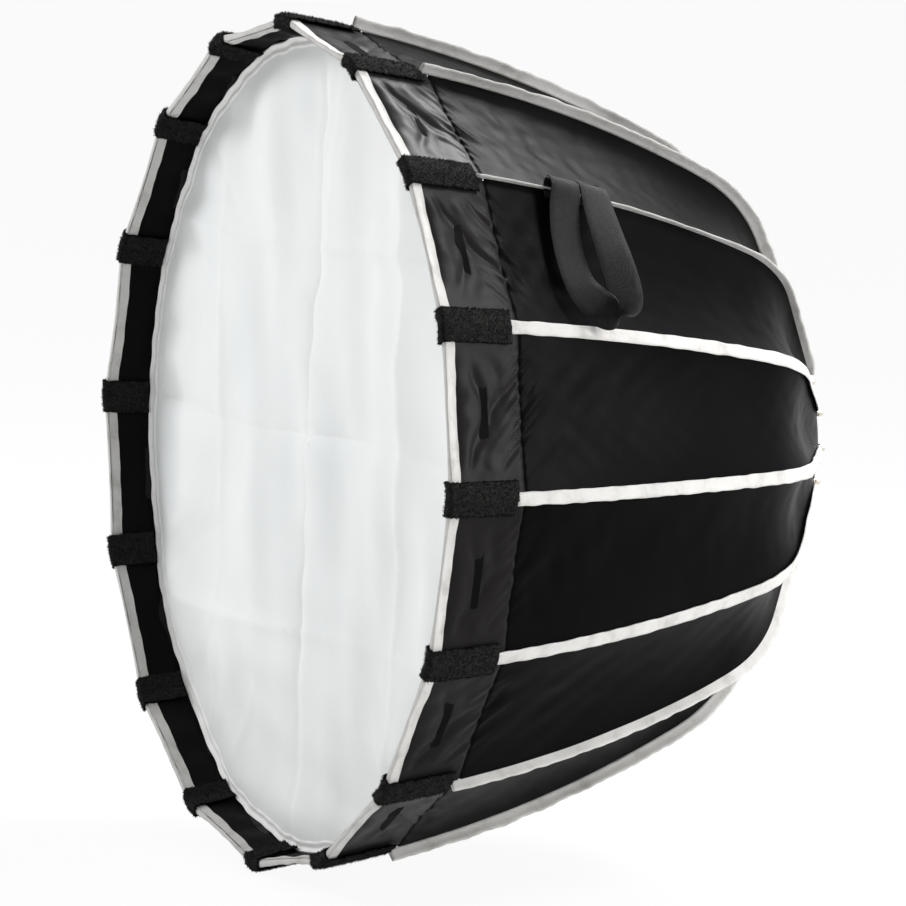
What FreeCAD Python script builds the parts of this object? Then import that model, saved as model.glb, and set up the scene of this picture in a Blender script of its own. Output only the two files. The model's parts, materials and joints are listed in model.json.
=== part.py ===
import FreeCAD, Part

import math
import os

# A deep sixteen-rib octabox on its bayonet collar, in millimetres.
# +Y is the light's axis, from the front diffuser to the lamp, and +Z is up.
# The origin is on the axis at the rear face of the collar's flange.

rib_count = 16

# rib line, from the hinge pin out to the rim; angles are measured from the axis
hinge_radius = 95.0
root_length = 135.0
root_angle = 64.0
shoulder_bend_radius = 200.0
shoulder_angle = 26.0
front_bend_radius = 1434.0
rim_angle = 8.2
rod_diameter = 5.0
rod_break_gap = 0.2

# collar
collar_bore = 96.0
collar_neck_diameter = 100.0
collar_neck_end = 36.0
collar_shoulder_diameter = 126.0
collar_shoulder_length = 13.0
flange_diameter = 138.0
flange_thickness = 6.0
lug_count = 3
lug_width = 12.0
lug_height = 5.0
lug_thickness = 4.0
lug_setback = 4.0

# ring
ring_edge_wall = 9.0
ring_rear_wall = 7.0
ring_cover_thickness = 3.2
flange_play = 0.15
ring_bore_clearance = 1.0
slot_width = 11.0
slot_depth = 16.0
slot_floor_wall = 5.5
hinge_pin_diameter = 3.0
hinge_pin_length = 19.0
edge_break = 0.8

# rib feet
foot_side_clearance = 0.3
foot_barrel_diameter = 10.0
foot_arm_thickness = 8.0
foot_length = 24.0
foot_socket_depth = 14.0
pin_running_clearance = 0.05
seat_clearance = 0.02

# lock plungers
boss_diameter = 12.0
boss_height = 3.0
chamber_diameter = 7.0
chamber_lip = 1.5
plunger_collar_diameter = 6.6
plunger_collar_length = 3.0
plunger_stem_diameter = 4.0
plunger_stem_clearance = 0.15
plunger_knob_diameter = 8.0
plunger_knob_length = 8.6
plunger_knob_gap = 0.6
plunger_waist_diameter = 5.6
plunger_nose_gap = 0.3
spring_wall = 0.7
spring_end_gap = 0.1

# cover screws
screw_count = 8
screw_diameter = 3.0
screw_length = 10.0
screw_head_diameter = 6.0
screw_head_depth = 1.7
screw_setback = 9.0

# soft goods
fabric_thickness = 1.2
fabric_gap = 0.5
hem_radius = 110.0
hem_setback = 1.0
seam_gap = 0.2
binding_height = 12.0
binding_thickness = 1.6
tab_length = 80.0
tab_width = 36.0
tab_thickness = 2.4
lip_depth = 48.0
lip_thickness = 2.0
lip_front_thickness = 2.0
diffuser_thickness = 1.5
diffuser_gap = 0.3
strap_width = 22.0
strap_span = 74.0
strap_hang = 148.0
strap_thickness = 2.4
strap_place = 206.0
strap_rib = 2
strap_lift = 0.3

# how far a cutting tool runs past the metal
run_out = 1.0

rib_pitch = 360.0 / rib_count
half_pitch = rib_pitch / 2
flat_share = math.cos(math.radians(half_pitch))
rod_radius = rod_diameter / 2
pin_radius = hinge_pin_diameter / 2
ring_radius = hinge_radius + ring_edge_wall
ring_seat = flange_play
ring_front = -(flange_thickness + flange_play)
ring_rear = ring_seat + ring_rear_wall
ring_bore_radius = collar_shoulder_diameter / 2 + ring_bore_clearance
screw_circle_radius = flange_diameter / 2 + screw_setback
cover_front = ring_front - ring_cover_thickness
slot_floor = ring_rear - slot_floor_wall
slot_root = ring_radius - slot_depth
hinge_y = ring_front + pin_radius
barrel_radius = foot_barrel_diameter / 2
boss_rear = ring_rear + boss_height
plunger_nose = hinge_y + barrel_radius + plunger_nose_gap
plunger_collar_rear = plunger_nose + plunger_collar_length
chamber_rear = boss_rear - chamber_lip
knob_start = boss_rear + plunger_knob_gap
shell_inside = (rod_radius + fabric_gap) / flat_share
shell_outside = shell_inside + fabric_thickness
lip_outside = -(rod_radius + fabric_gap) / flat_share
lip_inside = lip_outside - lip_thickness


def along(angle):
    """Unit vector (y, r) that runs out along the rib at an angle to the axis."""
    a = math.radians(angle)
    return -math.cos(a), math.sin(a)


def outward(angle):
    """Unit vector (y, r) that stands off the rib, away from the inside."""
    a = math.radians(angle)
    return math.sin(a), math.cos(a)


def step(point, direction, distance):
    return point[0] + direction[0] * distance, point[1] + direction[1] * distance


hinge_point = (hinge_y, hinge_radius)
root_end = step(hinge_point, along(root_angle), root_length)
shoulder_centre = step(root_end, outward(root_angle), -shoulder_bend_radius)
bend_point = step(shoulder_centre, outward(shoulder_angle), shoulder_bend_radius)
front_centre = step(bend_point, outward(shoulder_angle), -front_bend_radius)
rim_point = step(front_centre, outward(rim_angle), front_bend_radius)


def root_at(distance, offset):
    """Point on the straight root, at a distance from the hinge pin."""
    point = step(hinge_point, along(root_angle), distance)
    return step(point, outward(root_angle), offset)


def shoulder_at(angle, offset):
    return step(shoulder_centre, outward(angle), shoulder_bend_radius + offset)


def front_at(angle, offset):
    return step(front_centre, outward(angle), front_bend_radius + offset)


def front_angle(length):
    """Angle of the front curve at a length back from the rim."""
    return rim_angle + math.degrees(length / front_bend_radius)


def on_plane(point, share=1.0):
    """A (y, r) point in the plane of rib 0, which stands up along +Z."""
    return FreeCAD.Vector(0, point[0], point[1] * share)


def line(a, b, share=1.0):
    return Part.LineSegment(on_plane(a, share), on_plane(b, share)).toShape()


def arc(a, b, c, share=1.0):
    return Part.Arc(on_plane(a, share), on_plane(b, share), on_plane(c, share)).toShape()


def root_edges(offset, share=1.0):
    """Fabric line from the rear hem, just outside the ring, to the bend."""
    middle = (root_angle + shoulder_angle) / 2
    hem = step((ring_rear - hem_setback, hem_radius), outward(root_angle), offset - shell_inside)
    return [
        line(hem, root_at(root_length, offset), share),
        arc(root_at(root_length, offset), shoulder_at(middle, offset),
            shoulder_at(shoulder_angle, offset), share),
    ]


def front_edges(near_rim, far_from_rim, offset, share=1.0):
    a = front_angle(far_from_rim)
    b = front_angle(near_rim)
    return [arc(front_at(a, offset), front_at((a + b) / 2, offset), front_at(b, offset), share)]


front_length = math.radians(shoulder_angle - rim_angle) * front_bend_radius


def rib_turn(shape, index):
    """Copy of a rib 0 shape, turned to another rib; half steps fall between ribs."""
    copy = shape.copy()
    copy.rotate(FreeCAD.Vector(0, 0, 0), FreeCAD.Vector(0, 1, 0), index * rib_pitch)
    return copy


def all_round(shape, first=0.0):
    return Part.makeCompound([rib_turn(shape, first + i) for i in range(rib_count)])


def cylinder(radius, length, y, r=0.0):
    """Cylinder along +Y from y, on the axis or at a radius in rib 0's plane."""
    return Part.makeCylinder(radius, length, FreeCAD.Vector(0, y, r), FreeCAD.Vector(0, 1, 0))


def tube(outer, inner, length, y, r=0.0):
    return cylinder(outer, length, y, r).cut(cylinder(inner, length, y, r))


def slab(width, y0, y1, r0, r1):
    """Block across rib 0's plane, from y0 to y1 and from r0 to r1."""
    corner = FreeCAD.Vector(-width / 2, y0, r0)
    return Part.makeBox(width, y1 - y0, r1 - r0, corner)


def wedge(half_angle):
    """Wide wedge with its edge on the axis, centred on rib 0's plane."""
    reach = 2 * rim_point[1]
    side = reach * math.tan(math.radians(half_angle))
    depth = 3 * reach
    corners = [(0, 0), (side, reach), (-side, reach), (0, 0)]
    outline = Part.makePolygon([FreeCAD.Vector(x, -depth / 2, z) for x, z in corners])
    return Part.Face(outline).extrude(FreeCAD.Vector(0, depth, 0))


def band(outer, inner, width):
    """Plate whose section lies between two chains of edges, centred on rib 0's plane."""
    closing = []
    for end in (0, -1):
        a = outer[end].Vertexes[end].Point
        b = inner[end].Vertexes[end].Point
        closing.append(Part.LineSegment(a, b).toShape())
    edges = Part.sortEdges(outer + inner + closing)[0]
    face = Part.Face(Part.Wire(edges))
    solid = face.extrude(FreeCAD.Vector(width, 0, 0))
    solid.translate(FreeCAD.Vector(-width / 2, 0, 0))
    return solid


def outline_plate(points, width, share=1.0):
    outline = Part.makePolygon([on_plane(p, share) for p in points + points[:1]])
    solid = Part.Face(outline).extrude(FreeCAD.Vector(width, 0, 0))
    solid.translate(FreeCAD.Vector(-width / 2, 0, 0))
    return solid


def collar():
    neck_radius = collar_neck_diameter / 2
    flange = cylinder(flange_diameter / 2, flange_thickness, -flange_thickness)
    shoulder = Part.makeCone(collar_shoulder_diameter / 2, neck_radius, collar_shoulder_length,
                             FreeCAD.Vector(0, 0, 0), FreeCAD.Vector(0, 1, 0))
    neck = cylinder(neck_radius, collar_neck_end, 0)
    body = flange.fuse([shoulder, neck])
    lug_rear = collar_neck_end - lug_setback
    for i in range(lug_count):
        lug = slab(lug_width, lug_rear - lug_thickness, lug_rear, 0, neck_radius + lug_height)
        lug.rotate(FreeCAD.Vector(0, 0, 0), FreeCAD.Vector(0, 1, 0), i * 360.0 / lug_count)
        body = body.fuse(lug)
    bore = cylinder(collar_bore / 2, collar_neck_end + flange_thickness, -flange_thickness)
    return body.cut(bore).removeSplitter()


def ring_slot():
    return slab(slot_width, cover_front - run_out, slot_floor, slot_root, ring_radius + run_out)


def screw_places(shape):
    """Copies of a shape on rib 0's plane, on the cover's screw circle."""
    places = []
    for i in range(screw_count):
        copy = shape.copy()
        turn = half_pitch + i * 360.0 / screw_count
        copy.rotate(FreeCAD.Vector(0, 0, 0), FreeCAD.Vector(0, 1, 0), turn)
        places.append(copy)
    return Part.makeCompound(places)


def screw(clearance=0.0):
    """Countersunk screw, or the hole that it needs, standing on the cover's front face."""
    head = Part.makeCone(screw_head_diameter / 2 + clearance, screw_diameter / 2 + clearance,
                         screw_head_depth, FreeCAD.Vector(0, cover_front, screw_circle_radius),
                         FreeCAD.Vector(0, 1, 0))
    shank = cylinder(screw_diameter / 2 + clearance, screw_length + clearance, cover_front,
                     screw_circle_radius)
    return head.fuse(shank)


def hinge_pin(clearance=0.0):
    radius = pin_radius + clearance
    length = hinge_pin_length + 2 * clearance
    start = FreeCAD.Vector(-length / 2, hinge_y, hinge_radius)
    return Part.makeCylinder(radius, length, start, FreeCAD.Vector(1, 0, 0))


def pin_groove():
    half = pin_radius + seat_clearance
    channel = slab(hinge_pin_length + 2 * seat_clearance, ring_front - run_out, hinge_y,
                   hinge_radius - half, hinge_radius + half)
    return hinge_pin(seat_clearance).fuse(channel)


def ring_body():
    body = tube(ring_radius, ring_bore_radius, ring_rear - ring_front, ring_front)
    recess = cylinder(flange_diameter / 2 + flange_play, ring_seat - ring_front, ring_front)
    body = body.cut(recess)
    rim_edges = [e for e in body.Edges if abs(e.BoundBox.ZMax - ring_radius) < 0.01
                 and e.BoundBox.YLength < 0.01]
    body = body.makeChamfer(edge_break, rim_edges)
    body = body.fuse(all_round(cylinder(boss_diameter / 2, boss_height, ring_rear, hinge_radius)))
    chamber = cylinder(chamber_diameter / 2, chamber_rear - slot_floor + run_out,
                       slot_floor - run_out, hinge_radius)
    stem_hole = cylinder(plunger_stem_diameter / 2 + plunger_stem_clearance,
                         chamber_lip + 2 * run_out, chamber_rear - run_out, hinge_radius)
    body = body.cut(all_round(ring_slot()))
    body = body.cut(all_round(pin_groove()))
    body = body.cut(all_round(chamber.fuse(stem_hole)))
    return body.cut(screw_places(screw(seat_clearance)))


def ring_cover():
    plate = tube(ring_radius, ring_bore_radius, ring_cover_thickness, cover_front)
    plate = plate.cut(all_round(ring_slot()))
    return plate.cut(screw_places(screw(seat_clearance)))


def bent_rod(centre, start, start_angle, end_angle):
    """Round rod along an arc of the rib line."""
    circle = Part.Circle(on_plane(start), on_plane(along(start_angle)), rod_radius)
    section = Part.Face(Part.Wire(circle.toShape()))
    turn = start_angle - end_angle
    return section.revolve(on_plane(centre), FreeCAD.Vector(1, 0, 0), turn)


def foot_and_root_rod():
    """Hinged foot of a rib, and the rod's root that is pressed into it."""
    width = slot_width - 2 * foot_side_clearance
    half = foot_arm_thickness / 2
    barrel = Part.makeCylinder(barrel_radius, width,
                               FreeCAD.Vector(-width / 2, hinge_y, hinge_radius),
                               FreeCAD.Vector(1, 0, 0))
    arm_outline = [root_at(0, half), root_at(foot_length, half), root_at(foot_length, -half),
                   root_at(0, -half)]
    body = barrel.fuse(outline_plate(arm_outline, width)).removeSplitter()
    body = body.cut(hinge_pin(pin_running_clearance))
    end_edges = [e for e in body.Edges if e.BoundBox.XLength > width - 0.1
                 and e.BoundBox.ZMax > root_at(foot_length, -half)[1] - 0.1]
    body = body.makeFillet(edge_break, end_edges)
    direction = on_plane(along(root_angle))
    socket_floor = foot_length - foot_socket_depth
    socket = Part.makeCylinder(rod_radius + seat_clearance, foot_socket_depth + run_out,
                               on_plane(root_at(socket_floor, 0)), direction)
    stop_angle = shoulder_angle + math.degrees((rod_radius + rod_break_gap) / shoulder_bend_radius)
    straight = Part.makeCylinder(rod_radius, root_length - socket_floor,
                                 on_plane(root_at(socket_floor, 0)), direction)
    rod = straight.fuse(bent_rod(shoulder_centre, root_end, root_angle, stop_angle))
    return Part.makeCompound([body.cut(socket), rod])


def front_rod():
    """Front length of a rib, with the round end that it turns on at the bend."""
    rod = bent_rod(front_centre, bend_point, shoulder_angle, rim_angle)
    ball = Part.makeSphere(rod_radius, on_plane(bend_point))
    return rod.fuse(ball)


def plunger():
    """Spring-loaded lock pin: collar in its chamber, stem, and the knob that is pulled."""
    collar_part = cylinder(plunger_collar_diameter / 2, plunger_collar_length, plunger_nose,
                           hinge_radius)
    stem = cylinder(plunger_stem_diameter / 2, knob_start - plunger_nose, plunger_nose,
                    hinge_radius)
    knob_radius = plunger_knob_diameter / 2
    knob = cylinder(knob_radius, plunger_knob_length, knob_start, hinge_radius)
    tip_y = knob_start + plunger_knob_length
    tip = [e for e in knob.Edges if e.BoundBox.YMin > tip_y - 0.01]
    knob = knob.makeFillet(0.6 * knob_radius, tip)
    waist_start = knob_start + edge_break
    waist = tube(knob_radius, plunger_waist_diameter / 2, plunger_knob_length / 4, waist_start,
                 hinge_radius)
    return collar_part.fuse([stem, knob.cut(waist)]).removeSplitter()


def plunger_spring():
    outer = chamber_diameter / 2 - spring_end_gap
    start = plunger_collar_rear + spring_end_gap
    length = chamber_rear - spring_end_gap - start
    return tube(outer, outer - spring_wall, length, start, hinge_radius)


def gore():
    """Fabric panel between two ribs, centred on rib 0's plane."""
    reach = front_at(rim_angle, shell_outside)[1]
    width = 2 * reach
    outer = root_edges(shell_outside, flat_share)
    outer += front_edges(0, front_length, shell_outside, flat_share)
    inner = root_edges(shell_inside, flat_share)
    inner += front_edges(0, front_length, shell_inside, flat_share)
    return band(outer, inner, width).common(wedge(half_pitch))


def seam_binding():
    """Tape that stands along a seam, from the rear hem to the tip tab."""
    inner_offset = shell_outside + seam_gap
    outer_offset = inner_offset + binding_height
    outer = root_edges(outer_offset)
    outer += front_edges(tab_length, front_length, outer_offset)
    inner = root_edges(inner_offset)
    inner += front_edges(tab_length, front_length, inner_offset)
    return band(outer, inner, binding_thickness)


def tip_tab():
    """Patch folded over a seam at the rim, flat on the two panels beside it."""
    reach = 2 * front_at(rim_angle, shell_outside)[1]
    near = seam_gap / 2
    inner = front_edges(0, tab_length - seam_gap, shell_outside + near, flat_share)
    outer = front_edges(0, tab_length - seam_gap, shell_outside + near + tab_thickness, flat_share)
    panel = band(outer, inner, reach).common(wedge(half_pitch))
    patch = slab(tab_width, rim_point[0] - tab_length, 0, 0, reach)
    sides = [rib_turn(panel, turn).common(patch) for turn in (-0.5, 0.5)]
    return sides[0].fuse(sides[1]).removeSplitter()


def front_lip():
    """Turned-in edge at the rim that covers the rod tips."""
    rim_y = rim_point[0] - fabric_gap
    back = front_angle(lip_depth)
    outside = front_at(back, lip_outside)
    inside = front_at(back, lip_inside)
    rim_outside = front_at(rim_angle, lip_outside)[1]
    rim_inside = front_at(rim_angle, lip_inside)[1]
    edge = front_at(rim_angle, shell_outside)[1]
    front_y = rim_y - lip_front_thickness
    outline = [(rim_y, rim_outside), outside, inside, (front_y, rim_inside), (front_y, edge),
               (rim_y, edge)]
    panel = outline_plate(outline, 2 * edge, flat_share).common(wedge(half_pitch))
    panels = [rib_turn(panel, i + 0.5) for i in range(rib_count)]
    return panels[0].fuse(panels[1:]).removeSplitter()


def diffuser():
    back = front_at(front_angle(lip_depth), lip_outside)
    y = back[0] + diffuser_gap
    corners = []
    for i in range(rib_count + 1):
        turn = math.radians(i * rib_pitch)
        corners.append(FreeCAD.Vector(back[1] * math.sin(turn), y, back[1] * math.cos(turn)))
    face = Part.Face(Part.makePolygon(corners))
    return face.extrude(FreeCAD.Vector(0, diffuser_thickness, 0))


def strap_handle():
    """Webbing loop that hangs from a seam and lies on the panel below it."""
    angle = front_angle(strap_place)
    centre = front_at(angle, shell_outside)
    rear = front_at(front_angle(strap_place + strap_span / 2), shell_outside)
    seam = rear[1] * math.sin(math.radians(half_pitch))
    top = binding_thickness / 2 + seam_gap - seam
    half = strap_span / 2
    corner = FreeCAD.Vector(top, -half, strap_lift)
    loop = Part.makeBox(strap_hang, strap_span, strap_thickness, corner)
    hole_corner = FreeCAD.Vector(top - run_out, strap_width - half, strap_lift - run_out)
    hole = Part.makeBox(strap_hang - strap_width + run_out, strap_span - 2 * strap_width,
                        strap_thickness + 2 * run_out, hole_corner)
    loop = loop.cut(hole)
    tilt = math.degrees(math.atan(math.tan(math.radians(angle)) * flat_share))
    loop.rotate(FreeCAD.Vector(0, 0, 0), FreeCAD.Vector(1, 0, 0), -tilt)
    loop.translate(on_plane(centre, flat_share))
    return rib_turn(loop, strap_rib + 0.5)


def node_shapes():
    foot = foot_and_root_rod()
    rod = front_rod()
    lock = plunger()
    shapes = {
        "collar": collar(),
        "ring_body": ring_body(),
        "ring_cover": ring_cover(),
        "cover_screws": screw_places(screw()),
        "hinge_pins": all_round(hinge_pin()),
        "plunger_springs": all_round(plunger_spring()),
        "shell_gores": all_round(gore(), 0.5),
        "seam_bindings": all_round(seam_binding()),
        "tip_tabs": all_round(tip_tab()),
        "front_lip": front_lip(),
        "front_diffuser": diffuser(),
        "strap_handle": strap_handle(),
    }
    for i in range(rib_count):
        name = "%02d" % (i + 1)
        shapes["rib_foot_" + name] = rib_turn(foot, i)
        shapes["rib_rod_" + name] = rib_turn(rod, i)
        shapes["lock_plunger_" + name] = rib_turn(lock, i)
    return shapes


def report(shapes):
    for name, shape in shapes.items():
        if name[-2:].isdigit() and not name.endswith("_01"):
            continue
        box = shape.BoundBox
        print("%-16s solids %2d valid %s vol %.0f  y %.1f..%.1f  z %.1f..%.1f" % (
            name, len(shape.Solids), shape.isValid(), shape.Volume, box.YMin, box.YMax,
            box.ZMin, box.ZMax))
    print("hinge (y, r) = %.3f %.3f" % hinge_point)
    print("bend (y, r) = %.3f %.3f" % bend_point)
    print("rim (y, r) = %.3f %.3f" % rim_point)
    chord = math.atan2(bend_point[1] - hinge_radius, hinge_y - bend_point[0])
    front = math.atan2(rim_point[1] - bend_point[1], bend_point[0] - rim_point[0])
    print("root chord %.2f deg, front chord %.2f deg" % (math.degrees(chord), math.degrees(front)))


os.makedirs("parts", exist_ok=True)
built = node_shapes()
for node, solid in built.items():
    solid.exportStep("parts/" + node + ".step")
report(built)
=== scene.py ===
import json
import math
import random

import bpy
import numpy as np
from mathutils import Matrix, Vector


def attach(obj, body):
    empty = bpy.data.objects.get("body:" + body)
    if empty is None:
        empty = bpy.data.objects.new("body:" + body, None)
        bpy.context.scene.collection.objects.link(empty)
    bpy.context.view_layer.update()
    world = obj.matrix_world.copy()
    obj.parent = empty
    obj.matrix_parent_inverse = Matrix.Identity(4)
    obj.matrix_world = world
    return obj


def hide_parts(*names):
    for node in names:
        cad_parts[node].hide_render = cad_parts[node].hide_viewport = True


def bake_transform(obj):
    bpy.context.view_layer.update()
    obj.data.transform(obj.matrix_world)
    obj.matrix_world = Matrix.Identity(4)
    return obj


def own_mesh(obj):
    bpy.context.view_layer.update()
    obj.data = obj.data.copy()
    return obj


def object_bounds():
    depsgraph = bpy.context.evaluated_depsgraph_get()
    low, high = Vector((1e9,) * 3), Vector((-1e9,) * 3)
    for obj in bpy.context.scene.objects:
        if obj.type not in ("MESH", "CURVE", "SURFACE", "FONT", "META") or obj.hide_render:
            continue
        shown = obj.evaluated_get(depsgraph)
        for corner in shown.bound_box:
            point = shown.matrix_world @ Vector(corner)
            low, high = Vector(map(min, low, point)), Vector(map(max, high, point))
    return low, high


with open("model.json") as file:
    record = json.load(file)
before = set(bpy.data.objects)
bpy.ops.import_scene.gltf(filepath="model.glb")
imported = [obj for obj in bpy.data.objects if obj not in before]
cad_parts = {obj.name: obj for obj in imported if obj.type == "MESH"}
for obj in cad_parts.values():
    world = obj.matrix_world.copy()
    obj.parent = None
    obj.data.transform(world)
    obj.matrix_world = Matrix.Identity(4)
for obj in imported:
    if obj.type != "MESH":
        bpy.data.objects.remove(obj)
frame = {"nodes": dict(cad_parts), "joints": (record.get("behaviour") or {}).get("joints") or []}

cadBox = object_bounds()
print("frame loaded")

# Metres and degrees. y runs along the light's axis, r out from it.

ribCount = 16
ribStep = 360 / ribCount
halfStep = math.radians(ribStep / 2)

jointPlace = {j["name"]: j["pos_m"] for j in frame["joints"] if "pos_m" in j}
ribLine = {
    "hinge": (jointPlace["fold_01"][1], jointPlace["fold_01"][2]),
    "bend": (jointPlace["rod_straightens_01"][1], jointPlace["rod_straightens_01"][2]),
    "rootAngle": 64, "rootLength": .135, "shoulderRadius": .2, "shoulderAngle": 26,
    "frontRadius": 1.434, "rimAngle": 8.2, "rodRadius": .0025,
    "fabricOffset": .0036, "hem": (.0062, .110),
}


def outward(angle):
    return np.array([np.sin(angle), np.cos(angle)])


shoulderAngle = math.radians(ribLine["shoulderAngle"])
rimAngle = math.radians(ribLine["rimAngle"])
bend = np.array(ribLine["bend"])
shoulderCentre = bend - outward(shoulderAngle) * ribLine["shoulderRadius"]
frontCentre = bend - outward(shoulderAngle) * ribLine["frontRadius"]
frontLength = (shoulderAngle - rimAngle) * ribLine["frontRadius"]


def fabricEnd():
    # Angle and length where the fabric leaves the shoulder for the rear hem.
    radius = ribLine["shoulderRadius"] + ribLine["fabricOffset"]
    toHem = np.array(ribLine["hem"]) - shoulderCentre
    away = np.hypot(*toHem)
    angle = math.atan2(toHem[0], toHem[1]) - math.acos(radius / away)
    return angle, math.sqrt(away ** 2 - radius ** 2)


tangentAngle, straightLength = fabricEnd()
shoulderLength = (tangentAngle - shoulderAngle) * ribLine["shoulderRadius"]
fabricLength = frontLength + shoulderLength + straightLength


def ribPlace(s, offset, lastAngle=tangentAngle):
    # Arrays y, r and the angle to the axis, at lengths s back from the rim.
    s = np.asarray(s, float)
    angle = rimAngle + s / ribLine["frontRadius"]
    over = np.clip(s - frontLength, 0, None) / ribLine["shoulderRadius"]
    angle = np.where(s > frontLength, np.minimum(shoulderAngle + over, lastAngle), angle)
    onFront = s <= frontLength
    radius = np.where(onFront, ribLine["frontRadius"], ribLine["shoulderRadius"]) + offset
    y = np.where(onFront, frontCentre[0], shoulderCentre[0]) + radius * np.sin(angle)
    r = np.where(onFront, frontCentre[1], shoulderCentre[1]) + radius * np.cos(angle)
    turned = (lastAngle - shoulderAngle) * ribLine["shoulderRadius"]
    past = np.clip(s - frontLength - turned, 0, None)
    return y + past * np.cos(angle), r - past * np.sin(angle), angle


def ribTurn(a):
    # Angle of rib a about the light's axis, from the top; halves fall between ribs.
    return math.pi / 2 - np.asarray(a) * 2 * halfStep


def radial(a):
    turn = ribTurn(a)
    return np.stack([np.cos(turn), 0 * turn, np.sin(turn)], -1)


def sideways(a):
    # Unit vector at rib a towards the next rib.
    turn = ribTurn(a)
    return np.stack([np.sin(turn), 0 * turn, -np.cos(turn)], -1)


def ribName(i):
    return "%02d" % (i + 1)


def rootBody(i):
    return "rib_root_" + ribName(i)


def frontBody(i):
    return "rib_front_" + ribName(i)


def makePiece(name, verts, faces, materials, normals=None, faceSlots=None):
    mesh = bpy.data.meshes.new(name)
    mesh.from_pydata([tuple(v) for v in verts], [], faces)
    for material in materials:
        mesh.materials.append(material)
    if faceSlots is not None:
        mesh.polygons.foreach_set("material_index", faceSlots)
    mesh.polygons.foreach_set("use_smooth", [True] * len(mesh.polygons))
    mesh.update()
    if normals is not None:
        mesh.normals_split_custom_set_from_vertices([tuple(n) for n in normals])
    piece = bpy.data.objects.new(name, mesh)
    bpy.context.scene.collection.objects.link(piece)
    return piece


def unit(vectors):
    return vectors / np.maximum(np.linalg.norm(vectors, axis=-1, keepdims=True), 1e-12)


def gridNormals(points):
    # Unit normals of a grid of points, by differences along its two ways.
    return unit(np.cross(np.gradient(points, axis=0), np.gradient(points, axis=1)))


def turnTowards(normals, direction):
    # Turns normals round where they look away from a direction.
    away = np.sum(normals * direction, axis=-1, keepdims=True)
    return np.where(away < 0, -normals, normals)


class Build:
    # Collects grids and strips into one mesh.

    def __init__(self):
        self.verts, self.faces, self.normals, self.slots = [], [], [], []
        self.count = 0

    def grid(self, points, normals, slot=0, flip=False, closeV=False):
        rows, columns = points.shape[:2]
        start = self.count
        self.verts.append(points.reshape(-1, 3))
        self.normals.append(normals.reshape(-1, 3))
        self.count += rows * columns
        width = columns if closeV else columns - 1
        for i in range(rows - 1):
            for j in range(width):
                k = (j + 1) % columns
                a, b = start + i * columns + j, start + i * columns + k
                c, d = start + (i + 1) * columns + k, start + (i + 1) * columns + j
                self.faces.append((a, d, c, b) if flip else (a, b, c, d))
                self.slots.append(slot)
        return start

    def face(self, indices, slot=0):
        self.faces.append(tuple(indices))
        self.slots.append(slot)

    def tube(self, points, normals, flip=False):
        # Closed rows of points, with a flat face at both ends.
        rows, columns = points.shape[:2]
        self.grid(points, normals, flip=flip, closeV=True)
        first, last = range(columns), range((rows - 1) * columns, rows * columns)
        self.face(first if flip else first[::-1])
        self.face(last[::-1] if flip else last)

    def slab(self, points, normals, thickness, outerSlot=0, innerSlot=0):
        # Closed sheet: the grid, a second one under it, and strips round the edge.
        rows, columns = points.shape[:2]
        turned = bool(np.sum(gridNormals(points) * normals) > 0)
        top = self.grid(points, normals, outerSlot, flip=turned)
        low = self.grid(points - normals * thickness, -normals, innerSlot, flip=not turned)
        edge = [(0, j) for j in range(columns)]
        edge += [(i, columns - 1) for i in range(1, rows)]
        edge += [(rows - 1, j) for j in range(columns - 2, -1, -1)]
        edge += [(i, 0) for i in range(rows - 2, 0, -1)]
        for n, (i, j) in enumerate(edge):
            k, m = edge[(n + 1) % len(edge)]
            a, b = i * columns + j, k * columns + m
            strip = (top + b, top + a, low + a, low + b)
            self.face(strip[::-1] if turned else strip, outerSlot)

    def finish(self, name, materials):
        verts, normals = np.concatenate(self.verts), np.concatenate(self.normals)
        return makePiece(name, verts, self.faces, materials, normals, self.slots)


socketNames = {"rough": "Roughness", "metal": "Metallic", "spec": "Specular IOR Level",
               "sheen": "Sheen Weight", "sheenRough": "Sheen Roughness"}


def newMaterial(name, **sockets):
    material = bpy.data.materials.new(name)
    material.use_nodes = True
    shader = material.node_tree.nodes["Principled BSDF"]
    for key, value in sockets.items():
        shader.inputs[socketNames[key]].default_value = value
    return material, material.node_tree, shader


def noiseNode(tree, scale, detail=4, stretch=(1, 1, 1), rough=.5):
    place = tree.nodes.new("ShaderNodeTexCoord")
    mapping = tree.nodes.new("ShaderNodeMapping")
    mapping.inputs["Scale"].default_value = stretch
    noise = tree.nodes.new("ShaderNodeTexNoise")
    noise.inputs["Scale"].default_value = scale
    noise.inputs["Detail"].default_value = detail
    noise.inputs["Roughness"].default_value = rough
    tree.links.new(place.outputs["Object"], mapping.inputs["Vector"])
    tree.links.new(mapping.outputs["Vector"], noise.inputs["Vector"])
    return noise.outputs["Fac"]


def waveNode(tree, scale, axis, distortion=0):
    place = tree.nodes.new("ShaderNodeTexCoord")
    wave = tree.nodes.new("ShaderNodeTexWave")
    wave.bands_direction = axis
    wave.inputs["Scale"].default_value = scale
    wave.inputs["Distortion"].default_value = distortion
    wave.inputs["Detail Scale"].default_value = 2
    tree.links.new(place.outputs["Object"], wave.inputs["Vector"])
    return wave.outputs["Fac"]


def colourRamp(tree, value, stops):
    ramp = tree.nodes.new("ShaderNodeValToRGB")
    while len(ramp.color_ramp.elements) < len(stops):
        ramp.color_ramp.elements.new(.5)
    for element, (place, colour) in zip(ramp.color_ramp.elements, stops):
        element.position, element.color = place, (*colour, 1)
    tree.links.new(value, ramp.inputs["Fac"])
    return ramp.outputs["Color"]


def rangeNode(tree, value, low, high):
    mapped = tree.nodes.new("ShaderNodeMapRange")
    mapped.inputs["To Min"].default_value = low
    mapped.inputs["To Max"].default_value = high
    tree.links.new(value, mapped.inputs["Value"])
    return mapped.outputs["Result"]


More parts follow.
